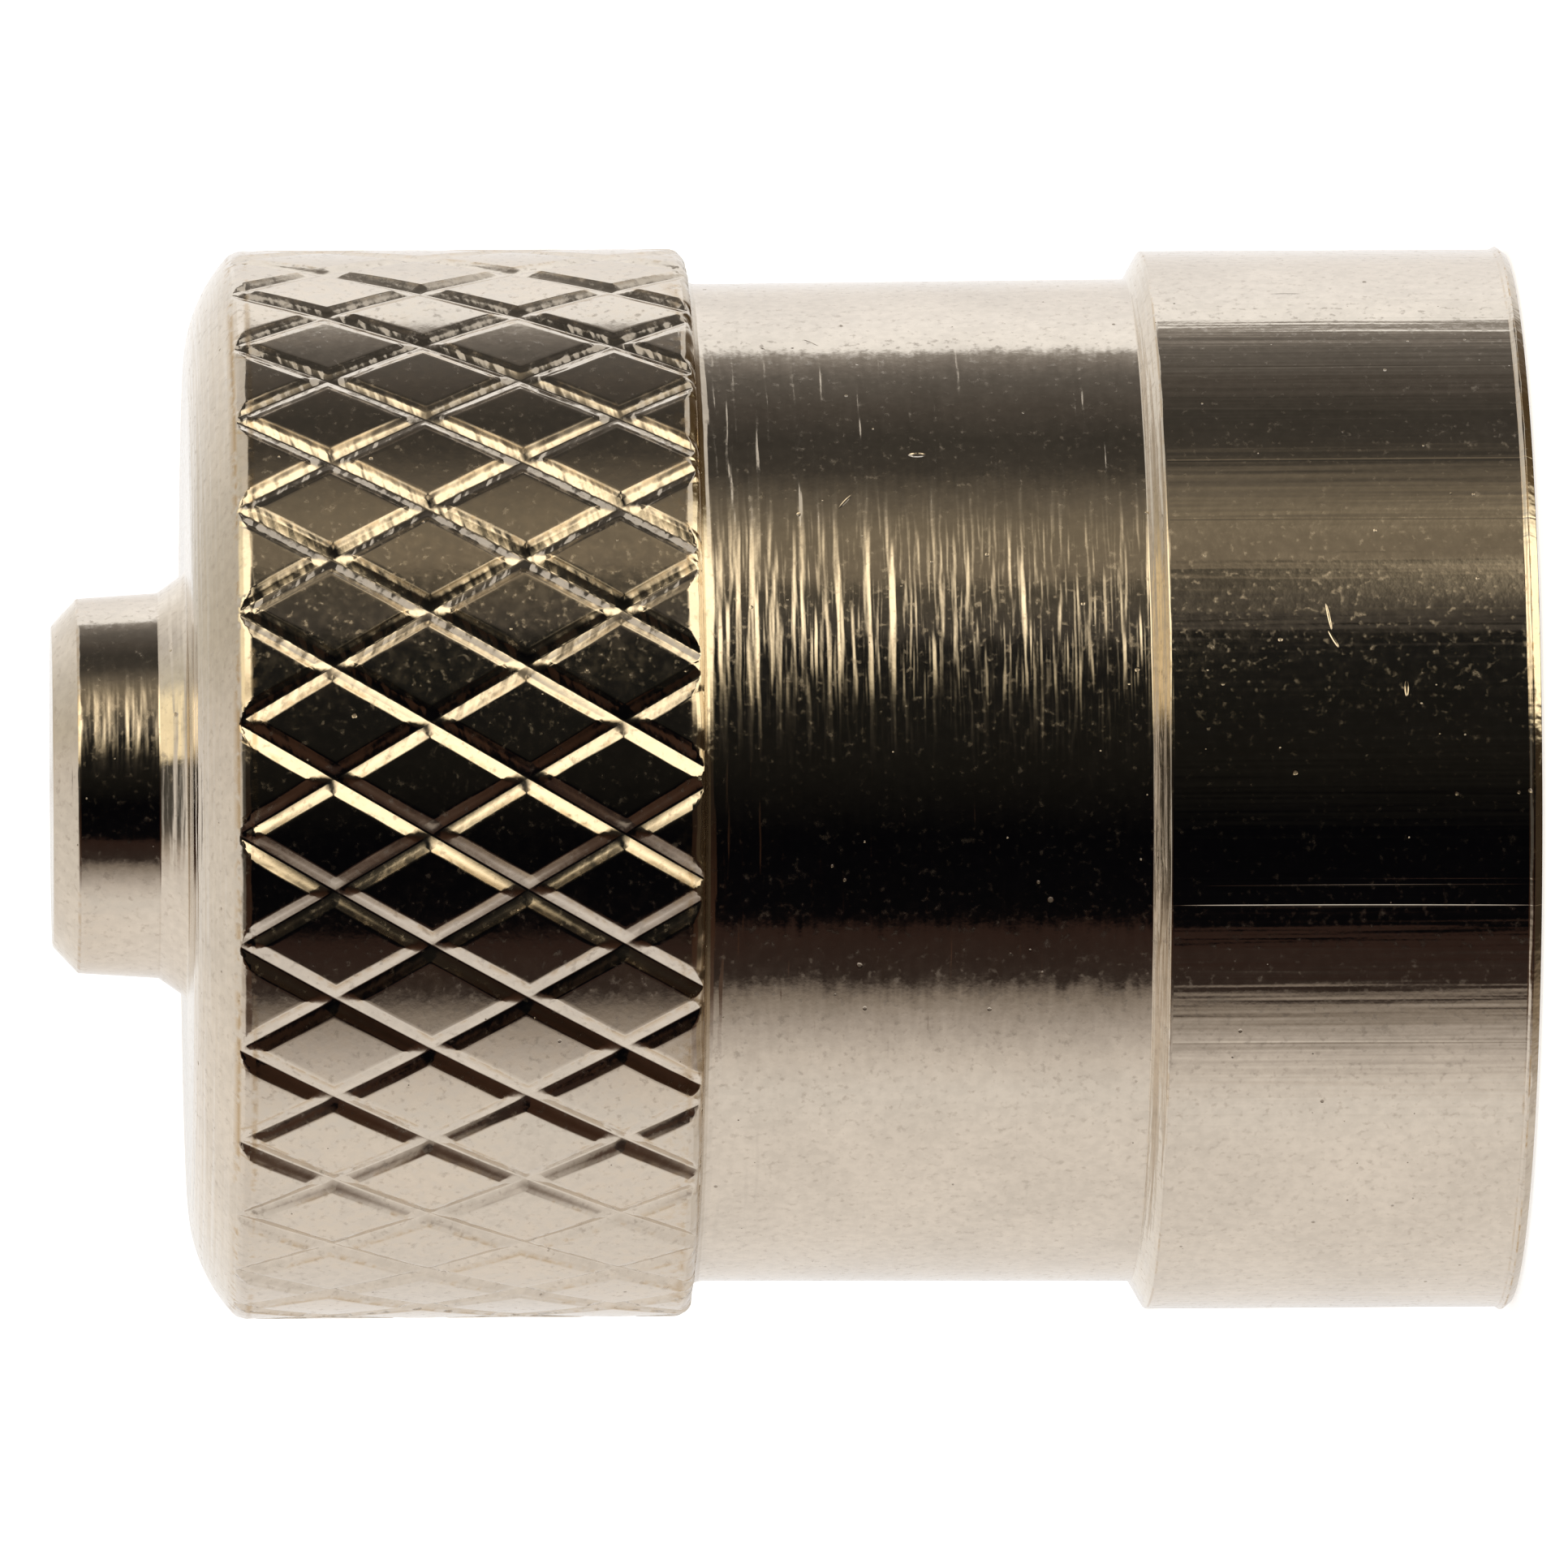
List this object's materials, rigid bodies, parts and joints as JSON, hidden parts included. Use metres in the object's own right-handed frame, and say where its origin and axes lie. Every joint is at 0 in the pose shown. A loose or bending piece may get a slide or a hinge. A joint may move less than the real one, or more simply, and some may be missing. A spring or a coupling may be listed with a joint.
{
  "type": "tyre valve cap",
  "caption": "Turned metal valve cap with a diamond-knurled grip, a narrow waist, a plain collar and a nub on its closed end; it screws onto a tyre valve and seals it.",
  "frame": {"origin": "centre of the open rim, on the plane that the cap stands on", "axes": "+Z along the cap's axis, from the open rim to the nub on the closed end"},
  "size_m": [0.01, 0.01, 0.0137],
  "materials": {
    "nickel_plated_brass": "gloss",
    "seal_rubber": "matte"
  },
  "bodies": {
    "root": {"cap_body": "nickel_plated_brass", "seal_washer": "seal_rubber"}
  },
  "joints": []
}
